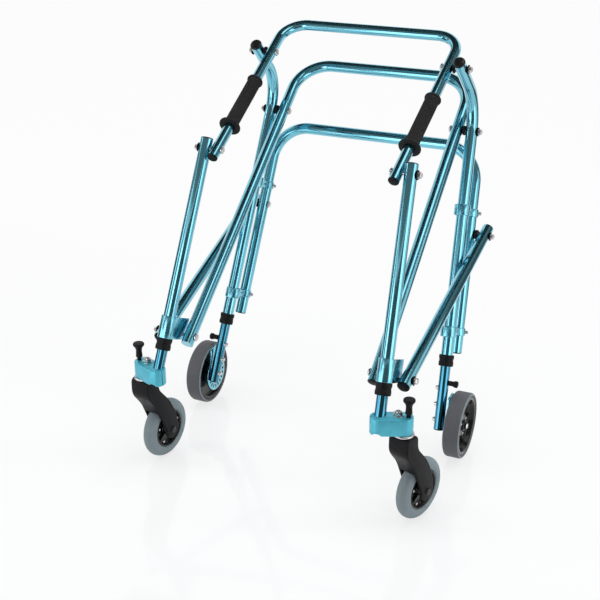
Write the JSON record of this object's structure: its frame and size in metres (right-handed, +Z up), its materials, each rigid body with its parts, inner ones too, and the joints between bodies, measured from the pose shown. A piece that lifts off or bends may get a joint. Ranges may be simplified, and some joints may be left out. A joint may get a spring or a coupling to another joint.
{
  "type": "reverse walker",
  "caption": "Folding tube walker that stands behind its user, with front casters, ratchet rear wheels, telescopic legs and rubber hand grips",
  "frame": {"origin": "On the floor, under the centre of the walker's bounding box", "axes": "+Z up; +Y from the front casters to the rear wheels, so the user walks towards -Y; +X to the side opposite the pair of parts named left"},
  "size_m": [0.6505, 0.6759, 0.8518],
  "materials": {
    "teal_anodised": "polished, anodised teal",
    "teal_satin": "satin, anodised light teal",
    "black_plastic": "moulded, fine texture",
    "steel": "zinc plated",
    "grip_rubber": "matt, fine ribs",
    "grey_tread": "matt grey, non-marking",
    "dark_tread": "matt dark grey, non-marking"
  },
  "bodies": {
    "rear_frame": {"left_rear_upright": "teal_anodised", "left_rear_upright_cap": "black_plastic", "left_rear_collar": "black_plastic", "left_handle_pivot_bolt": "steel", "left_mid_pivot_bolt": "steel", "right_rear_upright": "teal_anodised", "right_rear_upright_cap": "black_plastic", "right_rear_collar": "black_plastic", "right_handle_pivot_bolt": "steel", "right_mid_pivot_bolt": "steel"},
    "handlebar": {"handlebar": "teal_anodised", "left_grip": "grip_rubber", "right_grip": "grip_rubber", "left_leg_pivot_bolt": "steel", "right_leg_pivot_bolt": "steel"},
    "mid_bar": {"mid_bar": "teal_anodised"},
    "lower_bar": {"lower_bar": "teal_anodised", "left_upper_clamp": "teal_satin", "left_lower_clamp": "teal_satin", "left_brace_pivot_bolt": "steel", "right_upper_clamp": "teal_satin", "right_lower_clamp": "teal_satin", "right_brace_pivot_bolt": "steel"},
    "left_brace": {"left_brace": "teal_anodised"},
    "left_front_leg": {"left_front_leg": "teal_anodised", "left_front_bracket": "teal_satin", "left_front_collar": "black_plastic", "left_bracket_bolt": "steel"},
    "left_front_leg_tube": {"left_front_leg_tube": "teal_anodised", "left_caster_block": "teal_satin"},
    "left_swivel_lock": {"left_swivel_lock_knob": "black_plastic"},
    "left_caster": {"left_caster_fork": "black_plastic", "left_front_axle": "steel"},
    "left_front_wheel": {"left_front_tyre": "grey_tread", "left_front_hub": "black_plastic"},
    "left_rear_leg_tube": {"left_rear_leg_tube": "teal_anodised", "left_ratchet_plate": "teal_satin", "left_rear_axle": "steel"},
    "left_ratchet_knob": {"left_ratchet_knob": "black_plastic"},
    "left_rear_wheel": {"left_rear_tyre": "dark_tread", "left_rear_hub": "black_plastic"},
    "right_brace": {"right_brace": "teal_anodised"},
    "right_front_leg": {"right_front_leg": "teal_anodised", "right_front_bracket": "teal_satin", "right_front_collar": "black_plastic", "right_bracket_bolt": "steel"},
    "right_front_leg_tube": {"right_front_leg_tube": "teal_anodised", "right_caster_block": "teal_satin"},
    "right_swivel_lock": {"right_swivel_lock_knob": "black_plastic"},
    "right_caster": {"right_caster_fork": "black_plastic", "right_front_axle": "steel"},
    "right_front_wheel": {"right_front_tyre": "grey_tread", "right_front_hub": "black_plastic"},
    "right_rear_leg_tube": {"right_rear_leg_tube": "teal_anodised", "right_ratchet_plate": "teal_satin", "right_rear_axle": "steel"},
    "right_ratchet_knob": {"right_ratchet_knob": "black_plastic"},
    "right_rear_wheel": {"right_rear_tyre": "dark_tread", "right_rear_hub": "black_plastic"}
  },
  "joints": [
    {"name": "handlebar_fold", "type": "hinge", "parent": "rear_frame", "child": "handlebar", "pos_m": [0, 0.1443, 0.796], "axis": [1, 0, 0], "range_deg": [0, 18]},
    {"name": "mid_bar_fold", "type": "hinge", "parent": "rear_frame", "child": "mid_bar", "pos_m": [0, 0.21763, 0.651], "axis": [1, 0, 0], "range_deg": [0, 11.5]},
    {"name": "lower_bar_slide", "type": "slide", "parent": "rear_frame", "child": "lower_bar", "axis": [0, 0.3907, 0.9205], "range_m": [0, 0.048]},
    {"name": "left_leg_fold", "type": "hinge", "parent": "handlebar", "child": "left_front_leg", "pos_m": [0, -0.12648, 0.653], "axis": [1, 0, 0], "range_deg": [-15, 0]},
    {"name": "left_brace_fold", "type": "hinge", "parent": "lower_bar", "child": "left_brace", "pos_m": [0, 0.19987, 0.43], "axis": [1, 0, 0], "range_deg": [0, 18]},
    {"name": "left_front_leg_slide", "type": "slide", "parent": "left_front_leg", "child": "left_front_leg_tube", "axis": [-0.0461, -0.4152, -0.9086], "range_m": [0, 0.1]},
    {"name": "left_swivel_lock_press", "type": "slide", "parent": "left_front_leg_tube", "child": "left_swivel_lock", "axis": [0, 0, 1], "range_m": [-0.007, 0]},
    {"name": "left_caster_swivel", "type": "hinge", "parent": "left_front_leg_tube", "child": "left_caster", "pos_m": [-0.28, -0.3017, 0.246], "axis": [0, 0, 1], "continuous": true},
    {"name": "left_front_wheel_spin", "type": "hinge", "parent": "left_caster", "child": "left_front_wheel", "pos_m": [-0.27207, -0.24525, 0.0635], "axis": [0.9903, -0.1392, 0], "continuous": true},
    {"name": "left_rear_leg_slide", "type": "slide", "parent": "rear_frame", "child": "left_rear_leg_tube", "axis": [-0.0558, -0.3901, -0.9191], "range_m": [0, 0.1]},
    {"name": "left_ratchet_knob_pull", "type": "slide", "parent": "left_rear_leg_tube", "child": "left_ratchet_knob", "axis": [-1, 0, 0], "range_m": [0, 0.004], "stiffness_N_per_m": 500},
    {"name": "left_rear_wheel_spin", "type": "hinge", "parent": "left_rear_leg_tube", "child": "left_rear_wheel", "pos_m": [-0.3045, 0.0062, 0.071], "axis": [1, 0, 0], "continuous": true},
    {"name": "right_leg_fold", "type": "hinge", "parent": "handlebar", "child": "right_front_leg", "pos_m": [0, -0.12648, 0.653], "axis": [1, 0, 0], "range_deg": [-15, 0]},
    {"name": "right_brace_fold", "type": "hinge", "parent": "lower_bar", "child": "right_brace", "pos_m": [0, 0.19987, 0.43], "axis": [1, 0, 0], "range_deg": [0, 18]},
    {"name": "right_front_leg_slide", "type": "slide", "parent": "right_front_leg", "child": "right_front_leg_tube", "axis": [0.0461, -0.4152, -0.9086], "range_m": [0, 0.1]},
    {"name": "right_swivel_lock_press", "type": "slide", "parent": "right_front_leg_tube", "child": "right_swivel_lock", "axis": [0, 0, 1], "range_m": [-0.007, 0]},
    {"name": "right_caster_swivel", "type": "hinge", "parent": "right_front_leg_tube", "child": "right_caster", "pos_m": [0.28, -0.3017, 0.246], "axis": [0, 0, 1], "continuous": true},
    {"name": "right_front_wheel_spin", "type": "hinge", "parent": "right_caster", "child": "right_front_wheel", "pos_m": [0.29714, -0.24734, 0.0635], "axis": [0.9537, -0.3007, 0], "continuous": true},
    {"name": "right_rear_leg_slide", "type": "slide", "parent": "rear_frame", "child": "right_rear_leg_tube", "axis": [0.0558, -0.3901, -0.9191], "range_m": [0, 0.1]},
    {"name": "right_ratchet_knob_pull", "type": "slide", "parent": "right_rear_leg_tube", "child": "right_ratchet_knob", "axis": [1, 0, 0], "range_m": [0, 0.004], "stiffness_N_per_m": 500},
    {"name": "right_rear_wheel_spin", "type": "hinge", "parent": "right_rear_leg_tube", "child": "right_rear_wheel", "pos_m": [0.3045, 0.0062, 0.071], "axis": [1, 0, 0], "continuous": true}
  ],
  "couplings": [
    {"joint": "mid_bar_fold", "follows": "handlebar_fold", "ratio": 0.6254},
    {"joint": "lower_bar_slide", "follows": "handlebar_fold", "m_per_rad": 0.1503},
    {"joint": "left_leg_fold", "follows": "handlebar_fold", "ratio": -0.8049},
    {"joint": "left_brace_fold", "follows": "handlebar_fold", "ratio": 0.9735},
    {"joint": "right_leg_fold", "follows": "handlebar_fold", "ratio": -0.8049},
    {"joint": "right_brace_fold", "follows": "handlebar_fold", "ratio": 0.9735}
  ]
}
